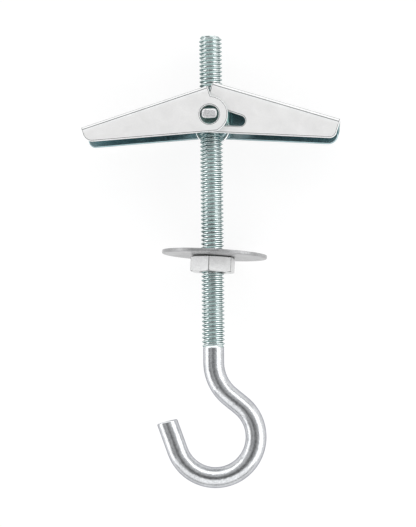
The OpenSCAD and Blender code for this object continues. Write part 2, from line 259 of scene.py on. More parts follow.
def thread_point(turn, share, height):
    """A point of the thread's surface, kept inside the chamfered end and faded into the wire."""
    angle = 2 * math.pi * turn
    z = PITCH * (turn + share)
    fade = min(1.0, max(0.0, (z - RUNOUT_Z) / RUNOUT_LEN))
    fade = fade * fade * (3 - 2 * fade)
    radius = WIRE_R + (ROOT_R + (THREAD_R - ROOT_R) * height - WIRE_R) * fade
    top = end_z(ROOT_R * math.cos(angle))
    z = min(max(z, RUNOUT_Z), top)
    radius = min(radius, THREAD_R - END_CHAMFER + (top - z))
    return (radius * math.cos(angle), radius * math.sin(angle), z)


def at_end(point):
    """Whether a point lies on the rim of the thread's end, or on the ring where the plain wire begins."""
    near = 1e-3
    return abs(point.z - end_z(point.x)) < near or abs(point.z - RUNOUT_Z) < near


def add_thread(mesh):
    """Sweeps the thread's section up a helix, cuts it off at both ends, and closes the top."""
    first = int(math.floor((RUNOUT_Z / PITCH - 2) * SIDES))
    last = int(math.ceil((THREAD_TOP / PITCH + 1) * SIDES))
    grid = [[mesh.verts.new(thread_point(i / SIDES, share, height)) for share, height in THREAD_FORM]
            for i in range(first, last)]
    for i in range(len(grid) - 1):
        here, ahead = grid[i], grid[i + 1]
        # the section ends where that of the next turn begins, if there is one
        if i + 1 + SIDES < len(grid):
            here, ahead = here + [grid[i + SIDES][0]], ahead + [grid[i + 1 + SIDES][0]]
        for k in range(len(here) - 1):
            face = mesh.faces.new((here[k], ahead[k], ahead[k + 1], here[k + 1]))
            face.material_index = LEVEL if k in LEVEL_STRIPS else FLANK_SHADE
    bmesh.ops.remove_doubles(mesh, verts=mesh.verts, dist=MERGE)
    bmesh.ops.dissolve_degenerate(mesh, edges=mesh.edges, dist=MERGE)
    beyond = [face for face in mesh.faces if all(at_end(vert.co) for vert in face.verts)]
    bmesh.ops.delete(mesh, geom=beyond, context="FACES")
    top_rim = [edge for edge in mesh.edges if edge.is_boundary and edge.verts[0].co.z > 0]
    bmesh.ops.holes_fill(mesh, edges=top_rim, sides=0)


def wire_path():
    """The wire's stations, as (centre x, centre z, direction x, direction z), and the tip's apart."""
    a = math.radians(NECK_ANGLE)
    path = [(0.0, z, 0.0, -1.0) for z in np.linspace(RUNOUT_Z, BEND_Z, STRAIGHT_COUNT)[:-1]]
    # the first bend
    for t in np.linspace(0, a, NECK_COUNT):
        path.append((NECK_R * (1 - math.cos(t)), BEND_Z - NECK_R * math.sin(t), math.sin(t), -math.cos(t)))
    # the straight slant below it
    x, z = path[-1][:2]
    run = (BOWL_OFFSET + BOWL_R * math.cos(a) - x) / math.sin(a)
    for t in SLANT_SHARES:
        path.append((x + run * t * math.sin(a), z - run * t * math.cos(a), math.sin(a), -math.cos(a)))
    # the bowl
    x, z = x + run * math.sin(a), z - run * math.cos(a)
    bowl_x, bowl_z = x - BOWL_R * math.cos(a), z - BOWL_R * math.sin(a)
    for t in np.linspace(a, -math.pi + math.radians(TIP_ANGLE), BOWL_COUNT):
        centre = (bowl_x + BOWL_R * math.cos(t), bowl_z + BOWL_R * math.sin(t))
        path.append((*centre, math.sin(t), -math.cos(t)))
    # the straight tip
    x, z, dx, dz = path[-1]
    for t in TIP_SHARES:
        path.append((x + dx * TIP_LEN * t, z + dz * TIP_LEN * t, dx, dz))
    return path, (x + dx * TIP_LEN, z + dz * TIP_LEN, dx, dz)


def wire_ring(x, z, dx, dz, radius=WIRE_R, back=0.0, skew=0.0):
    """A ring of the wire. skew slants it, for a cropped end; back sets it short of its centre."""
    points = []
    for k in range(SIDES):
        c, s = math.cos(2 * math.pi * k / SIDES), math.sin(2 * math.pi * k / SIDES)
        along = -back - skew * radius * c
        points.append((x - dz * radius * c + dx * along, radius * s, z + dx * radius * c + dz * along))
    return points


def hook_bolt_mesh():
    """The whole bolt: the thread, the wire bent into a hook, and the hook's cropped tip."""
    mesh = bmesh.new()
    add_thread(mesh)
    path, tip = wire_path()
    rings = [wire_ring(*station) for station in path]
    for inwards, along in rounding(TIP_EDGE, 3):
        rings.append(wire_ring(*tip, radius=WIRE_R - inwards, back=TIP_EDGE - along, skew=TIP_SKEW))
    rings.append(wire_ring(*tip, radius=WIRE_R * DISH_SHARE, back=DISH_RIM, skew=TIP_SKEW))
    rows = skin(mesh, rings)
    x, z, dx, dz = tip
    cap(mesh, rows[-1], (x - dx * DISH_MIDDLE, 0.0, z - dz * DISH_MIDDLE))
    for face in mesh.faces:
        if face.calc_center_median().z < PLAIN_Z:
            face.material_index = PLAIN
    return mesh


# ---- the wings: a flat blank with rounded edges, folded into a channel ----

# A place on the blank is (u, s, n): u runs from the pivot to the tip, s runs across, from 0 where the inner
# fold meets the web to WEB_LEN where the outer one does, and n is the height over the middle of the sheet.
# A place on a flange is (u, v), with v up from the pivot.

WING_EDGE = 0.20
FOLD_STEPS = 8
# the web's shading is kept level up to this distance from the folds
WEB_MARGIN = 0.04
# however sharp a corner is, an inset moves it no further than the inset's distance divided by this
SHARPEST = 0.45
# sides of an outline that are longer than this are divided
LONGEST = 1.2


def lower_edge(u):
    """The height of a flange's lower edge."""
    return -LOWER_H / cos_deg(TAPER) + u * tan_deg(TAPER)


def flange_edge(tip_r):
    """A flange's free edge in u and v, from the fold at the pivot end round to the fold at the tip."""
    cut = math.degrees(math.acos(LOWER_H / EAR_R))
    start = 180 - math.degrees(math.asin(math.sqrt(EAR_R ** 2 - OVERRUN ** 2) / EAR_R))
    ear = arc((0, 0), EAR_R, start, 270 + TAPER - cut)
    ear_end = polar(LOWER_H / cos_deg(cut), 270 + TAPER + cut)
    corner = (WING_LEN - tip_r, lower_edge(WING_LEN - tip_r) + tip_r / cos_deg(TAPER))
    return ear + [ear_end] + arc(corner, tip_r, 270 + TAPER, 360)


def slot_edge():
    """The pivot hole of the inner flange and the slot that runs out of it, in u and v."""
    tangent = math.degrees(math.acos((PIVOT_R - SLOT_END_R) / SLOT_LEN))
    return (arc((0, 0), PIVOT_R, SLOT_ANGLE + tangent, SLOT_ANGLE + 360 - tangent)
            + arc(polar(SLOT_LEN, SLOT_ANGLE), SLOT_END_R, SLOT_ANGLE - tangent, SLOT_ANGLE + tangent))


def outer_blank(outline):
    """The places on the blank of an outline on the outer flange."""
    return [(u, WEB_LEN + OUTER_ARC + OUTER_FOLD[1] - v) for u, v in outline]


def inner_blank(outline):
    """The places on the blank of an outline on the inner flange."""
    return [(u, v - INNER_FOLD[1] - INNER_ARC) for u, v in outline]


def web_place(y):
    """How far along the slanted web, from the inner fold's centre, a distance across the wing lies."""
    return (y - INNER_FOLD[0] - MID_R * math.sin(SLANT)) / math.cos(SLANT)


def outer_place(angle):
    """Where on the blank the outer fold's surface has turned to an angle from facing straight up."""
    return WEB_LEN + MID_R * (math.radians(angle) - SLANT)


def inner_place(angle):
    """Where on the blank the inner fold's surface has turned to an angle from facing straight up."""
    return -MID_R * (math.radians(angle) + SLANT)


def folded(u, s, n):
    """Where a place on the blank goes when the blank is folded."""
    if s > WEB_LEN:
        centre, over, whole, way = OUTER_FOLD, s - WEB_LEN, OUTER_ARC, 1
    else:
        centre, over, whole, way = INNER_FOLD, max(0.0, -s), INNER_ARC, -1
    turn = SLANT + way * min(over, whole) / MID_R
    along = s if 0 < s <= WEB_LEN else 0.0
    y = centre[0] + (MID_R + n) * math.sin(turn) + along * math.cos(SLANT)
    v = centre[1] + (MID_R + n) * math.cos(turn) - along * math.sin(SLANT) - max(0.0, over - whole)
    return (u, y, v)


# the finishes of a wing's faces, as places in SHEET_FINISHES: the inside is painted shade, the web painted
# shade too, the edge and fold lines are painted dark lines, and the shine is a painted highlight
FLANGE, INSIDE_SHADE, SHADE_LINE, DULL_FOLD, WEB_SHADE, PAINTED_SHINE = range(6)
# the heights over the middle of the sheet between which its rounded edge has a painted dark line and a
# painted highlight, with painted shade below
SKIN_N, RIM_N, WALL_N = (SHEET / 2 - share * WING_EDGE for share in (0.02, 0.20, 0.95))
# where on the blank the folds' painted highlight ends, with a painted dark line beside, and where the web's
# painted shade ends
OUTER_DULL, INNER_DULL = outer_place(66), inner_place(70)
OUTER_WEB, INNER_WEB = outer_place(34), inner_place(32)
SHADE_LINE_W = 0.10


def sheet_finish(s, n):
    """The finish of a face of the blank, by where its middle lies; some of these are painted shade, painted
    dark lines and a painted highlight.
    """
    if n < -WALL_N:
        return INSIDE_SHADE
    if WALL_N < n < RIM_N:
        return PAINTED_SHINE
    if RIM_N < n < SKIN_N:
        return SHADE_LINE
    if OUTER_DULL - SHADE_LINE_W < s < OUTER_DULL or INNER_DULL < s < INNER_DULL + SHADE_LINE_W:
        return SHADE_LINE
    if OUTER_DULL < s < WEB_LEN + OUTER_ARC or -INNER_ARC < s < INNER_DULL:
        return DULL_FOLD
    if INNER_WEB < s < OUTER_WEB:
        return WEB_SHADE
    if INNER_DULL < s < OUTER_DULL:
        return PAINTED_SHINE
    return FLANGE


def blank_cuts():
    """Where the blank is cut along its length, to bend smoothly and to end its finishes on an edge."""
    folds = [WEB_LEN + OUTER_ARC * k / FOLD_STEPS for k in range(FOLD_STEPS + 1)]
    folds += [-INNER_ARC * k / FOLD_STEPS for k in range(FOLD_STEPS + 1)]
    lines = [OUTER_DULL - SHADE_LINE_W, OUTER_DULL, INNER_DULL, INNER_DULL + SHADE_LINE_W]
    return folds + [WEB_LEN - WEB_MARGIN, WEB_MARGIN] + lines + [OUTER_WEB, INNER_WEB]


def inset(loop, distance):
    """A closed loop moved inwards, to the left of its direction, by a small distance."""
    points = np.array(loop)
    ahead, behind = np.roll(points, -1, 0) - points, points - np.roll(points, 1, 0)
    ahead /= np.linalg.norm(ahead, axis=1)[:, None]
    behind /= np.linalg.norm(behind, axis=1)[:, None]
    left_ahead = np.stack([-ahead[:, 1], ahead[:, 0]], 1)
    left_behind = np.stack([-behind[:, 1], behind[:, 0]], 1)
    way = left_ahead + left_behind
    way /= np.linalg.norm(way, axis=1)[:, None]
    reach = distance / np.clip((way * left_ahead).sum(1), SHARPEST, 1)
    return points + way * reach[:, None]


def densify(loop):
    """A closed loop with points added along its long sides."""
    out = []
    for a, b in zip(loop, loop[1:] + loop[:1]):
        steps = max(1, int(math.ceil(math.dist(a, b) / LONGEST)))
        out += [(a[0] + (b[0] - a[0]) * k / steps, a[1] + (b[1] - a[1]) * k / steps) for k in range(steps)]
    return out


def signed_area(loop):
    """The area in a closed loop, which is negative if the loop runs clockwise."""
    return sum(a[0] * b[1] - b[0] * a[1] for a, b in zip(loop, loop[1:] + loop[:1])) / 2


def plate_mesh(boundary, holes, thickness, edge):
    """A flat plate with holes, its edges rounded, lying in x and y with its middle at z = 0."""
    if signed_area(boundary) < 0:
        boundary = boundary[::-1]
    holes = [hole if signed_area(hole) < 0 else hole[::-1] for hole in holes]
    mesh = bmesh.new()
    half = thickness / 2
    # the first step lies inside the rounded edge, which keeps the faces' shading flat
    steps = [(edge * 1.5, half)] + [(inwards, half - edge + up) for inwards, up in rounding(edge, 3)[::-1]]
    under, over = [], []
    for loop in [boundary] + holes:
        rings = []
        for inwards, height in steps:
            rings.append([(x, y, -height) for x, y in inset(loop, inwards)])
        for inwards, height in steps[::-1]:
            rings.append([(x, y, height) for x, y in inset(loop, inwards)])
        rows = skin(mesh, rings)
        under.append(rows[0])
        over.append(rows[-1])
    for loops in (over, under):
        verts = [vert for loop in loops for vert in loop]
        for corners in tessellate_polygon([[vert.co.copy() for vert in loop] for loop in loops]):
            if len(set(corners)) == 3:
                mesh.faces.new([verts[k] for k in corners])
    return mesh


def wing_mesh(turned):
    """A wing, open. turned makes it the left one: the same stamping, turned half round the bolt."""
    # what is left of the slanted web's rise where it passes the bolt's axis
    rise_left = WEB_RISE * OUTER_FOLD[0] / (OUTER_FOLD[0] - INNER_FOLD[0])
    notch_u = -(WEB_H - SHEET + rise_left) * tan_deg(SLOPE)
    half = math.degrees(math.acos((-OVERRUN - notch_u) / NOTCH_R))
    notch = [(u, web_place(y)) for u, y in arc((notch_u, 0.0), NOTCH_R, -half, half)]
    outer = outer_blank(flange_edge(OUTER_TIP_R))
    inner = inner_blank(flange_edge(INNER_TIP_R))
    holes = [densify(outer_blank(circle(PIVOT_R))), densify(inner_blank(slot_edge()))]
    mesh = plate_mesh(densify(inner + outer[::-1] + notch[::-1]), holes, SHEET, WING_EDGE)
    for s in blank_cuts():
        bmesh.ops.bisect_plane(mesh, geom=mesh.verts[:] + mesh.edges[:] + mesh.faces[:], dist=MERGE,
                               plane_co=(0, s, 0), plane_no=(0, 1, 0))
    for face in mesh.faces:
        u, s, n = face.calc_center_median()
        face.material_index = sheet_finish(s, n)
    tilt = Matrix.Rotation(math.radians(SLOPE), 4, "Y")
    if turned:
        tilt = Matrix.Rotation(math.pi, 4, "Z") @ tilt
    for vert in mesh.verts:
        vert.co = tilt @ Vector(folded(*vert.co))
    return mesh


# ---- the pivot nut: a drilled block with a flat lug at each end ----

# the finishes of the pivot nut's faces, as places in PIVOT_NUT_FINISHES; all but the lugs' ends get painted
# shade
LUG, BLOCK_SHADE = range(2)
BLOCK_ROUND, LUG_ROUND = 0.18, 0.28
# the lug's section has wider corners than the solid's, which shrink by a share of any inset
LUG_CORNER, CORNER_SHRINK = LUG_EDGE + 0.35, 0.6
# the line struck round the middle of a lug's end, as (how far in from the sides, how deep) pairs
STRUCK_LINE = ((0.33, 0.0), (0.38, 0.06), (0.44, 0.06), (0.49, 0.015))
# along the pivot: where each lug starts in the block, where its straight part ends, and where its own
# finish begins, before which the nut is painted shade
FRONT_ROOT, BACK_ROOT = 3.2, 2.2
SHANK_END, LUG_FROM = 3.6, LUG_END - 0.24
NUT_MERGE = 1e-4


def rounded_box(half_x, half_y, radius):
    """The outline of a rounded rectangle about the origin."""
    points = []
    for k, (sx, sy) in enumerate(((1, 1), (-1, 1), (-1, -1), (1, -1))):
        points += arc((sx * (half_x - radius), sy * (half_y - radius)), radius, 90 * k, 90 * k + 90, 15)
    return points


def joined(a, b):
    """The union of two closed meshes, as a new bmesh."""
    pair = []
    for mesh in (a, b):
        bmesh.ops.recalc_face_normals(mesh, faces=mesh.faces)
        data = bpy.data.meshes.new("part")
        mesh.to_mesh(data)
        mesh.free()
        pair.append(bpy.data.objects.new("part", data))
        bpy.context.collection.objects.link(pair[-1])
    union = pair[0].modifiers.new("union", "BOOLEAN")
    union.operation = "UNION"
    union.solver = "EXACT"
    union.object = pair[1]
    result = bmesh.new()
    result.from_object(pair[0], bpy.context.evaluated_depsgraph_get())
    for piece in pair:
        data = piece.data
        bpy.data.objects.remove(piece)
        bpy.data.meshes.remove(data)
    return result


def lug_mesh(side, root):
    """A lug with soft edges, and a shallow line struck round the middle of its end. side is -1 in front."""
    mesh = bmesh.new()
    stations = [(0.0, root), (0.0, SHANK_END)]
    stations += [(inwards, LUG_END - LUG_ROUND + along) for inwards, along in rounding(LUG_ROUND, 4)]
    stations += [(inwards, LUG_END - depth) for inwards, depth in STRUCK_LINE]
    rings = []
    for inwards, y in stations:
        corner = LUG_CORNER - inwards * CORNER_SHRINK
        loop = rounded_box(LUG_W / 2 - inwards, LUG_H / 2 - inwards, corner)
        rings.append([(x, side * y, z + LUG_RISE) for x, z in loop])
    rows = skin(mesh, rings)
    cap(mesh, rows[0])
    cap(mesh, rows[-1])
    return mesh


def pivot_nut_mesh():
    """The drilled block, with both lugs joined to it."""
    depth, middle = BLOCK_BACK - BLOCK_FRONT, (BLOCK_BACK + BLOCK_FRONT) / 2
    outline = [(x, y + middle) for x, y in rounded_box(BLOCK_W / 2, depth / 2, BLOCK_CORNER)]
    mesh = plate_mesh(densify(outline), [circle(BORE_R)], BLOCK_H, BLOCK_ROUND)
    bmesh.ops.translate(mesh, vec=(0, 0, LUG_RISE), verts=mesh.verts)
    for side, root in ((-1, FRONT_ROOT), (1, BACK_ROOT)):
        mesh = joined(mesh, lug_mesh(side, root))
    bmesh.ops.remove_doubles(mesh, verts=mesh.verts, dist=NUT_MERGE)
    bmesh.ops.dissolve_degenerate(mesh, edges=mesh.edges, dist=NUT_MERGE)
    bmesh.ops.holes_fill(mesh, edges=mesh.edges, sides=0)
    # the lugs' ends keep the plain tone, and the rest gets painted shade
    for face in mesh.faces:
        face.material_index = LUG if abs(face.calc_center_median().y) > LUG_FROM else BLOCK_SHADE
    return mesh


# ---- the torsion spring: two half coils with their legs ----

SPRING_SIDES = 14
SPRING_ROUND = 0.05
COIL_COUNT, LEG_COUNT = 40, 24


def spring_path(side):
    """Half of the coil and one leg, as pairs of a point and the angle of the wire's outward side."""
    top = 90 - LEG_ANGLE[-1]
    sweep = 360 - LEG_ANGLE[1] - LEG_ANGLE[-1]
    stations = []
    for share in np.linspace(0.5, 1.0 if side > 0 else 0.0, COIL_COUNT):
        a = math.radians(top - sweep * share)
        y = LEG_Y[-1] + (LEG_Y[1] - LEG_Y[-1]) * share
        stations.append(((COIL_R * math.cos(a), y, COIL_Z + COIL_R * math.sin(a)), a))
    (x, y, z), a = stations[-1]
    length = leg_length(side)
    for share in np.linspace(0, 1, LEG_COUNT)[1:]:
        run = length * share
        point = (x + side * run * cos_deg(LEG_ANGLE[side]), y, z + run * sin_deg(LEG_ANGLE[side]))
        stations.append((point, a))
    return stations


def spring_ring(side, centre, a, radius, shift=0.0):
    """A ring of the spring's wire, shifted along it towards the leg's end."""
    out = Vector((math.cos(a), 0, math.sin(a)))
    along = Vector((-math.sin(a), 0, math.cos(a))) * -side
    base = Vector(centre) + along * shift
    points = []
    for k in range(SPRING_SIDES):
        turn = 2 * math.pi * k / SPRING_SIDES
        points.append(base + radius * (math.cos(turn) * out + Vector((0, math.sin(turn), 0))))
    return points


def spring_mesh(side):
    """One half of the spring. side is 1 for the half with the right leg and -1 for the other."""
    mesh = bmesh.new()
    stations = spring_path(side)
    rings = [spring_ring(side, centre, a, SPRING_R) for centre, a in stations]
    centre, a = stations[-1]
    for inwards, along in rounding(SPRING_ROUND, 3)[1:]:
        rings.append(spring_ring(side, centre, a, SPRING_R - inwards, along))
    rows = skin(mesh, rings)
    cap(mesh, rows[-1])
    cap(mesh, rows[0])
    return mesh


# ---- the washer and the hexagon nut ----

TURNED_SIDES = 128
# each edge of the washer is rolled where its punch went in, with a burr on the other side, and its faces
# are kept flat up to a margin beside the rolled edges
ROLLED, BURR, FLAT_MARGIN = 0.2, 0.06, 0.05

# the finishes of the hexagon nut's faces, as places in HEX_NUT_FINISHES: the corners and bevels get painted
# shade, and the rim under the washer a painted shadow
NUT_SIDE, NUT_EDGE_SHADE, NUT_RIM_SHADOW = range(3)
# the nut's bevel, the rounding of its corners and edges, and the countersink of its bore
NUT_BEVEL, NUT_CORNER, NUT_ROUND, NUT_SINK = 30, 0.14, 0.05, 0.25
# how many points divide each side of the hexagon
FLAT_COUNT = 15
# how far down from the washer the nut's painted shadow reaches
NUT_SHADOW_H = 0.2


def turned_mesh(profile):
    """A closed profile of (radius, height) points, turned about the z axis."""
    mesh = bmesh.new()
    turns = [2 * math.pi * k / TURNED_SIDES for k in range(TURNED_SIDES)]
    rings = [[(r * math.cos(turn), r * math.sin(turn), z) for turn in turns] for r, z in profile]
    skin(mesh, rings + rings[:1])
    return mesh


def washer_mesh():
    """The stamped washer, leaning on the nut."""
    t = WASHER_T / 2
    profile = (arc((WASHER_HOLE_R + BURR, -t + BURR), BURR, 180, 270, 30)
               + [(WASHER_R - ROLLED - FLAT_MARGIN, -t)]
               + arc((WASHER_R - ROLLED, -t + ROLLED), ROLLED, 270, 360, 15)
               + arc((WASHER_R - BURR, t - BURR), BURR, 0, 90, 30)
               + [(WASHER_HOLE_R + ROLLED + FLAT_MARGIN, t)]
               + arc((WASHER_HOLE_R + ROLLED, t - ROLLED), ROLLED, 90, 180, 15))
    mesh = turned_mesh(profile)
    lean = Matrix.Translation((WASHER_X, 0, WASHER_Z)) @ Matrix.Rotation(math.radians(WASHER_LEAN), 4, "Y")
    bmesh.ops.transform(mesh, matrix=lean, verts=mesh.verts)
    return mesh


def hexagon():
    """The nut's outline with its corners rounded, as (angle in radians, radius) pairs."""
    reach = (NUT_FLATS / 2 - NUT_CORNER) / cos_deg(30)
    outline = []
    for k in range(6):
        corner = NUT_TURN + 60 * k
        (x, y), (next_x, next_y) = polar(reach, corner), polar(reach, corner + 60)
        out_x, out_y = polar(NUT_CORNER, corner + 30)
        outline += arc((x, y), NUT_CORNER, corner - 30, corner + 30, 10)
        outline += [(x + (next_x - x) * t + out_x, y + (next_y - y) * t + out_y)
                    for t in np.linspace(0, 1, FLAT_COUNT)[1:-1]]
    return [(math.atan2(y, x), math.hypot(x, y)) for x, y in outline]


def nut_section(r):
    """The lower half of the nut's section, from its bore to its side, where its outline has a radius r."""
    face = min(r, NUT_FACE_R)
    bevel = tan_deg(NUT_BEVEL) * max(0.0, r - NUT_FACE_R)
    soft = NUT_ROUND * 0.3
    return [(NUT_BORE_R, NUT_SINK), (NUT_BORE_R + NUT_SINK, 0.0), (face - NUT_ROUND * 3, 0.0),
            (face - NUT_ROUND, 0.0), (face - soft, soft), (r - soft * (r < NUT_FACE_R), bevel + soft),
            (r, bevel + NUT_ROUND), (r, bevel + NUT_ROUND * 3)]


def nut_finish(face):
    """The nut's corners and bevels get painted shade, darker than its sides, and its rim under the washer a
    painted shadow, darker still.
    """
    off_side = (math.degrees(math.atan2(face.normal.y, face.normal.x)) - NUT_TURN - 30) % 60
    level = abs(face.normal.z)
    on_rim = level < 0.99 and face.calc_center_median().z > NUT_H - NUT_SHADOW_H
    on_corner = level < 0.5 and 2 < off_side < 58
    on_bevel = 0.45 < level < 0.97
    if on_rim:
        return NUT_RIM_SHADOW
    return NUT_EDGE_SHADE if on_corner or on_bevel else NUT_SIDE


def hex_nut_mesh():
    """The bevelled nut, turned and leaning on the bolt."""
    outline = hexagon()
    angles = [angle for angle, r in outline]
    sections = [nut_section(r) for angle, r in outline]
    lower = [[(r * math.cos(angle), r * math.sin(angle), z) for angle, (r, z) in zip(angles, level)]
             for level in zip(*sections)]
    upper = [[(x, y, NUT_H - z) for x, y, z in ring] for ring in lower[::-1]]
    mesh = bmesh.new()
    skin(mesh, lower + upper + lower[:1])
    mesh.normal_update()
    for face in mesh.faces:
        face.material_index = nut_finish(face)
    lean = (Matrix.Translation((0, 0, NUT_Z)) @ Matrix.Rotation(math.radians(NUT_LEAN), 4, "Y")
            @ Matrix.Translation((0, 0, -NUT_H / 2)))
    bmesh.ops.transform(mesh, matrix=lean, verts=mesh.verts)
    return mesh


# ---- materials ----

class Nodes:
    """A short way to write the nodes of a material or of the world."""

    def __init__(self, owner, output):
        owner.use_nodes = True
        self.owner = owner
        self.tree = owner.node_tree
        self.tree.nodes.clear()
        self.out = self.add(output)

    def add(self, kind, **settings):
        node = self.tree.nodes.new(kind)
        for key, value in settings.items():
            setattr(node, key, value)
        return node

    def link(self, a, b):
        self.tree.links.new(a, b)

    def calculate(self, operation, a, b):
        """A math node. a is a socket, and b is a socket or a number."""
        node = self.add("ShaderNodeMath", operation=operation)
        self.link(a, node.inputs[0])
        if isinstance(b, float):
            node.inputs[1].default_value = b
        else:
            self.link(b, node.inputs[1])
        return node.outputs[0]

    def noise(self, vector, scale, detail, rough, distortion=0.0):
        node = self.add("ShaderNodeTexNoise")
        node.inputs["Scale"].default_value = scale
        node.inputs["Detail"].default_value = detail
        node.inputs["Roughness"].default_value = rough
        node.inputs["Distortion"].default_value = distortion
        self.link(vector, node.inputs["Vector"])
        return node.outputs["Fac"]

    def ramp(self, value, stops):
        """A colour that follows a value through stops, which are (value, colour) pairs."""
        node = self.add("ShaderNodeValToRGB")
        elements = node.color_ramp.elements
        while len(elements) < len(stops):
            elements.new(0.5)
        for element, (at, colour) in zip(elements, stops):
            element.position = at
            element.color = (*colour, 1.0)
        self.link(value, node.inputs["Fac"])
        return node.outputs["Color"]

    def span(self, value, low, high, start=0.0, stop=1.0):
        """A number that goes from low to high as a value goes from start to stop."""
        node = self.add("ShaderNodeMapRange")
        node.inputs["From Min"].default_value = start
        node.inputs["From Max"].default_value = stop
        node.inputs["To Min"].default_value = low
        node.inputs["To Max"].default_value = high
        self.link(value, node.inputs["Value"])
        return node.outputs["Result"]

    def bump(self, height, strength, distance, normal=None):
        node = self.add("ShaderNodeBump")
        node.inputs["Strength"].default_value = strength
        node.inputs["Distance"].default_value = distance
        self.link(height, node.inputs["Height"])
        if normal is not None:
            self.link(normal, node.inputs["Normal"])
        return node.outputs["Normal"]


def material_nodes(name):
    return Nodes(bpy.data.materials.new(name), "ShaderNodeOutputMaterial")


# the plating's patterns, as noise scales, and the depths of its grain and its pits, in metres
CLOUDS, GLOSS_PATCHES, PITS, FLECKS, GRAIN = 420.0, 1300.0, 1500.0, 3600.0, 5200.0
GRAIN_DEPTH, PIT_DEPTH = 0.00004, 0.0002
# where the clouds' noise gives the dark tone and the light one
DARK_AT, LIGHT_AT = 0.3, 0.7
# noise keeps to its middle, so the flecks are spread this many times wider than the share that speck gives
FLECK_SPREAD = 3
WHITE = (1.0, 1.0, 1.0)


def zinc(name, dark, light, metallic, rough, grain, pits, rim=WHITE, speck=0.06, gloss=0.5):
    """Zinc plate: cloudy tone, uneven gloss, a fine grain, and its own colour where it is seen edge-on."""
    n = material_nodes(name)
    coords = n.add("ShaderNodeTexCoord").outputs["Object"]
    clouds = n.ramp(n.noise(coords, CLOUDS, 3.0, 0.6, 0.4), ((DARK_AT, dark), (LIGHT_AT, light)))
    swing = FLECK_SPREAD * speck
    flecks = n.span(n.noise(coords, FLECKS, 4.0, 0.7), 1.0 - swing, 1.0 + swing)
    colour = n.add("ShaderNodeVectorMath", operation="SCALE")
    n.link(clouds, colour.inputs[0])
    n.link(flecks, colour.inputs["Scale"])
    normal = n.bump(n.noise(coords, GRAIN, 3.0, 0.6), grain, GRAIN_DEPTH)
    normal = n.bump(n.noise(coords, PITS, 2.0, 0.5), pits, PIT_DEPTH, normal)
    shader = n.add("ShaderNodeBsdfPrincipled")
    shader.inputs["Metallic"].default_value = metallic
    shader.inputs["Specular Tint"].default_value = (*rim, 1.0)
    shader.inputs["Specular IOR Level"].default_value = gloss
    n.link(colour.outputs["Vector"], shader.inputs["Base Color"])
    n.link(n.span(n.noise(coords, GLOSS_PATCHES, 5.0, 0.65), *rough), shader.inputs["Roughness"])
    n.link(normal, shader.inputs["Normal"])
    n.link(shader.outputs["BSDF"], n.out.inputs["Surface"])
    return n.owner


BOLT_FINISHES = (
    zinc("thread_crest_zinc", (0.80, 0.86, 0.86), (0.92, 0.95, 0.95), metallic=1.0, rough=(0.16, 0.26),
         grain=0.04, pits=0.07, rim=(0.40, 0.50, 0.50)),
    # painted shade: the flanks are darker than crest and root, as shade in the grooves, over the plating's
    # teal tint
    zinc("thread_groove_painted_shade", (0.40, 0.48, 0.475), (0.52, 0.60, 0.59), metallic=1.0, rough=(0.16, 0.26),
         grain=0.04, pits=0.07, rim=(0.30, 0.38, 0.38)),
    zinc("wire_zinc", (0.56, 0.57, 0.585), (0.68, 0.69, 0.705), metallic=1.0, rough=(0.17, 0.30),
         grain=0.18, pits=0.16, rim=(0.36, 0.36, 0.42), speck=0.14),
)
SHEET_FINISHES = (
    zinc("wing_zinc", (0.79, 0.785, 0.78), (0.85, 0.845, 0.84), metallic=0.25, rough=(0.36, 0.46),
         grain=0.10, pits=0.04, speck=0.015),
    # painted shade: the inside of the channel, dark teal where light hardly reaches
    zinc("wing_inside_painted_shade", (0.36, 0.50, 0.53), (0.50, 0.62, 0.64), metallic=1.0, rough=(0.16, 0.26),
         grain=0.05, pits=0.05, rim=(0.4, 0.5, 0.5)),
    # painted dark lines: outlines along the sheet's edges and beside the folds, drawn as shade
    zinc("sheet_painted_dark_line", (0.12, 0.13, 0.13), (0.20, 0.21, 0.21), metallic=0.3, rough=(0.40, 0.50),
         grain=0.05, pits=0.03),
    zinc("fold_zinc", (0.74, 0.74, 0.74), (0.80, 0.80, 0.80), metallic=0.10, rough=(0.40, 0.50),
         grain=0.08, pits=0.04, speck=0.02),
    # painted shade: the web, darker so that it draws the wing's upper outline
    zinc("web_painted_shade", (0.44, 0.45, 0.45), (0.52, 0.53, 0.53), metallic=0.0, rough=(0.70, 0.80),
         grain=0.05, pits=0.03, gloss=0.1),
    # painted highlight: the bright band on the folds and on the sheet's cut edge
    zinc("sheet_painted_highlight", (0.94, 0.94, 0.94), (0.96, 0.96, 0.96), metallic=0.40, rough=(0.26, 0.34),
         grain=0.04, pits=0.03, speck=0.01),
)
WASHER_FINISHES = (
    zinc("washer_zinc", (0.29, 0.29, 0.293), (0.42, 0.42, 0.425), metallic=0.55, rough=(0.24, 0.36),
         grain=0.30, pits=0.14, speck=0.16),
)
HEX_NUT_FINISHES = (
    zinc("nut_zinc", (0.64, 0.64, 0.64), (0.76, 0.76, 0.76), metallic=0.40, rough=(0.30, 0.42),
         grain=0.20, pits=0.08, speck=0.08),
    # painted shade: dark lines on the nut's corners and bevels
    zinc("nut_edge_painted_shade", (0.20, 0.20, 0.20), (0.30, 0.30, 0.30), metallic=0.4, rough=(0.34, 0.46),
         grain=0.05, pits=0.03),
    # painted shadow: the nut's rim in the gap under the washer
    zinc("nut_rim_painted_shadow", (0.03, 0.03, 0.03), (0.05, 0.05, 0.05), metallic=0.2, rough=(0.40, 0.50),
         grain=0.05, pits=0.03),
)
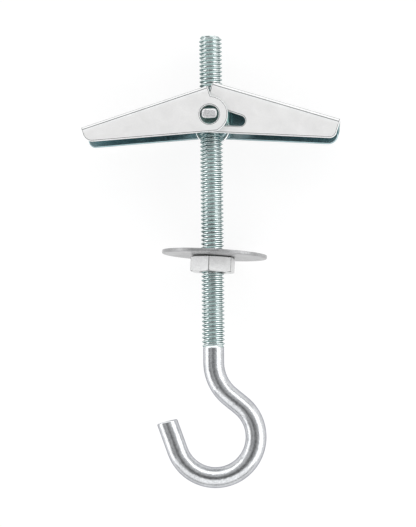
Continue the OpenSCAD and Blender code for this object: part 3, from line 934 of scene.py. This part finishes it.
PIVOT_NUT_FINISHES = (
    zinc("lug_zinc", (0.58, 0.58, 0.585), (0.80, 0.80, 0.805), metallic=0.55, rough=(0.22, 0.34),
         grain=0.20, pits=0.24, speck=0.14),
    # painted shade: the block and the lugs' shanks, dark teal as if in the channel's shadow
    zinc("block_painted_shade", (0.22, 0.36, 0.34), (0.40, 0.54, 0.51), metallic=1.0, rough=(0.18, 0.30),
         grain=0.10, pits=0.10),
)
SPRING_FINISHES = (
    zinc("spring_steel", (0.68, 0.72, 0.72), (0.82, 0.84, 0.84), metallic=1.0, rough=(0.16, 0.26),
         grain=0.03, pits=0.03),
)

# ---- the pieces ----

place("hook_bolt_threaded", hook_bolt_mesh(), BOLT_FINISHES,
      node="hook_bolt", body="hook_bolt", sharp=32.0)
place("right_wing_folded", wing_mesh(False), SHEET_FINISHES,
      node="right_wing", body="right_wing", sharp=40.0)
place("left_wing_folded", wing_mesh(True), SHEET_FINISHES,
      node="left_wing", body="left_wing", sharp=40.0)
place("washer_stamped", washer_mesh(), WASHER_FINISHES,
      node="washer", body="washer", sharp=60.0)
place("hex_nut_bevelled", hex_nut_mesh(), HEX_NUT_FINISHES,
      node="hex_nut", body="hex_nut", sharp=25.0)

for side, name, wing in ((1, "spring_right", "right_wing"), (-1, "spring_left", "left_wing")):
    spring = place(name, spring_mesh(side), SPRING_FINISHES,
                   node="torsion_spring", body=None, sharp=60.0)
    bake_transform(spring)

place("pivot_nut_with_lugs", pivot_nut_mesh(), PIVOT_NUT_FINISHES,
      node="pivot_nut", body="toggle", sharp=30.0)

# ---- the stage: a white floor, seen pure white, that keeps a soft shadow ----

FLOOR_SIZE = 3.0
FLOOR_COLOUR = (0.96, 0.96, 0.96, 1)
FLOOR_GLOW, GLOW_SHARE = 1.04, 0.80


def floor_material():
    """White that glows in part for the camera and in reflections, but lights nothing else."""
    n = material_nodes("floor_white")
    diffuse = n.add("ShaderNodeBsdfDiffuse")
    diffuse.inputs["Color"].default_value = FLOOR_COLOUR
    glow = n.add("ShaderNodeEmission")
    glow.inputs["Color"].default_value = (*WHITE, 1)
    glow.inputs["Strength"].default_value = FLOOR_GLOW
    ray = n.add("ShaderNodeLightPath").outputs
    seen = n.calculate("MAXIMUM", ray["Is Camera Ray"], ray["Is Glossy Ray"])
    seen = n.calculate("MAXIMUM", seen, ray["Is Transmission Ray"])
    mix = n.add("ShaderNodeMixShader")
    n.link(n.calculate("MULTIPLY", seen, GLOW_SHARE), mix.inputs["Fac"])
    n.link(diffuse.outputs["BSDF"], mix.inputs[1])
    n.link(glow.outputs["Emission"], mix.inputs[2])
    n.link(mix.outputs["Shader"], n.out.inputs["Surface"])
    return n.owner


bpy.ops.mesh.primitive_plane_add(size=FLOOR_SIZE, location=(0, 0, 0))
floor = bpy.context.object
floor.name = "floor"
floor.data.materials.append(floor_material())

# ---- the lamps: four softboxes round the bolt, in metres and watts ----

LAMP_AIM = Vector((0, 0, 0.008))
LAMP_DISTANCE = 0.50


def softbox(name, direction, size, power):
    """An area lamp that faces the middle of the bolt. Its size is its level width and its height."""
    data = bpy.data.lights.new(name, "AREA")
    data.shape = "RECTANGLE"
    data.size, data.size_y = size
    data.energy = power
    lamp = bpy.data.objects.new(name, data)
    bpy.context.collection.objects.link(lamp)
    lamp.location = LAMP_AIM + Vector(direction).normalized() * LAMP_DISTANCE
    lamp.rotation_euler = (LAMP_AIM - lamp.location).to_track_quat("-Z", "Y").to_euler()


softbox("thread_end_softbox", (0.0, 0.82, 0.57), (1.10, 0.28), 1.30)
softbox("hook_end_softbox", (0.0, -0.70, 0.71), (1.10, 0.44), 1.12)
softbox("right_softbox", (0.92, 0.0, 0.40), (0.70, 0.42), 1.22)
softbox("left_softbox", (-0.955, 0.0, 0.295), (0.60, 0.30), 0.72)

# ---- the studio round the lamps ----

# its tone, by the angle to the right of straight up, and the tint of those tones
STUDIO = ((-90, 0.62), (-64, 0.52), (-50, 0.30), (-38, 0.26), (-22, 0.60), (-9, 0.10),
          (4, 0.06), (12, 0.18), (22, 0.40), (40, 0.56), (56, 0.62), (90, 0.62))
STUDIO_TINT = (1.0, 1.01, 1.015)
# one even tone takes over as a unit ray's height falls, and as the square of its reach along the bolt grows
EVEN_TONE = (0.58, 0.585, 0.59, 1)
EVEN_BY_HEIGHT, EVEN_BY_REACH = (0.5, 0.15), (0.01, 0.13)


def studio_world():
    """Bright and dark bands that run the length of the bolt, for the metal to mirror."""
    n = Nodes(bpy.data.worlds.new("studio"), "ShaderNodeOutputWorld")
    axes = n.add("ShaderNodeSeparateXYZ")
    n.link(n.add("ShaderNodeTexCoord").outputs["Generated"], axes.inputs[0])
    x, y, z = axes.outputs
    across = n.span(n.calculate("ARCTAN2", x, z), 0.0, 1.0, -math.pi / 2, math.pi / 2)
    tones = [((angle + 90) / 180, [tone * tint for tint in STUDIO_TINT]) for angle, tone in STUDIO]
    low = n.span(z, 0.0, 1.0, *EVEN_BY_HEIGHT)
    far = n.span(n.calculate("MULTIPLY", y, y), 0.0, 1.0, *EVEN_BY_REACH)
    blend = n.add("ShaderNodeMix", data_type="RGBA")
    n.link(n.calculate("MAXIMUM", low, far), blend.inputs["Factor"])
    n.link(n.ramp(across, tones), blend.inputs["A"])
    blend.inputs["B"].default_value = EVEN_TONE
    sky = n.add("ShaderNodeBackground")
    n.link(blend.outputs["Result"], sky.inputs["Color"])
    n.link(sky.outputs["Background"], n.out.inputs["Surface"])
    return n.owner


bpy.context.scene.world = studio_world()

# ---- the camera: looking straight down on the lying bolt, as the photograph shows it upright ----

# Found by fitting the bolt to the photograph, in degrees and millimetres. The camera aims at AIM_Z on the
# bolt's axis, which the photograph shows at pixel CAM_X, CAM_Y, and where 1 mm takes up CAM_SCALE pixels.
CAM_AZ, CAM_EL, CAM_ROLL, CAM_DIST = 3.7, -4.9, -0.58, 440.0
AIM_Z = -23.7
CAM_SCALE, CAM_X, CAM_Y = 5.835, 212.6, 255.4
PHOTO_W, PHOTO_H = 416, 527
SENSOR = 36.0
CLIP = (0.01, 10.0)


def camera():
    """The photograph's camera, as an object."""
    az, el, roll = (math.radians(angle) for angle in (CAM_AZ, CAM_EL, CAM_ROLL))
    back = Vector((math.sin(az) * math.cos(el), -math.cos(az) * math.cos(el), math.sin(el)))
    right = (-back).cross(Vector((0, 0, 1))).normalized()
    up = right.cross(-back)
    right, up = math.cos(roll) * right + math.sin(roll) * up, -math.sin(roll) * right + math.cos(roll) * up
    focal_px = CAM_SCALE * CAM_DIST
    data = bpy.data.cameras.new("camera")
    data.sensor_fit = "VERTICAL"
    data.sensor_height = SENSOR
    data.sensor_width = SENSOR
    data.lens = SENSOR * focal_px / PHOTO_H
    data.shift_x = (PHOTO_W / 2 - CAM_X) / PHOTO_H
    data.shift_y = (CAM_Y - PHOTO_H / 2) / PHOTO_H
    data.clip_start, data.clip_end = CLIP
    turn = BOLT.to_3x3().normalized()
    axes = Matrix((turn @ right, turn @ up, turn @ back)).transposed()
    stand = BOLT @ (Vector((0, 0, AIM_Z)) + back * CAM_DIST)
    made = bpy.data.objects.new("camera", data)
    bpy.context.collection.objects.link(made)
    made.matrix_world = Matrix.Translation(stand) @ axes.to_4x4()
    return made


bpy.context.scene.camera = camera()
bpy.context.scene.view_settings.view_transform = "Standard"
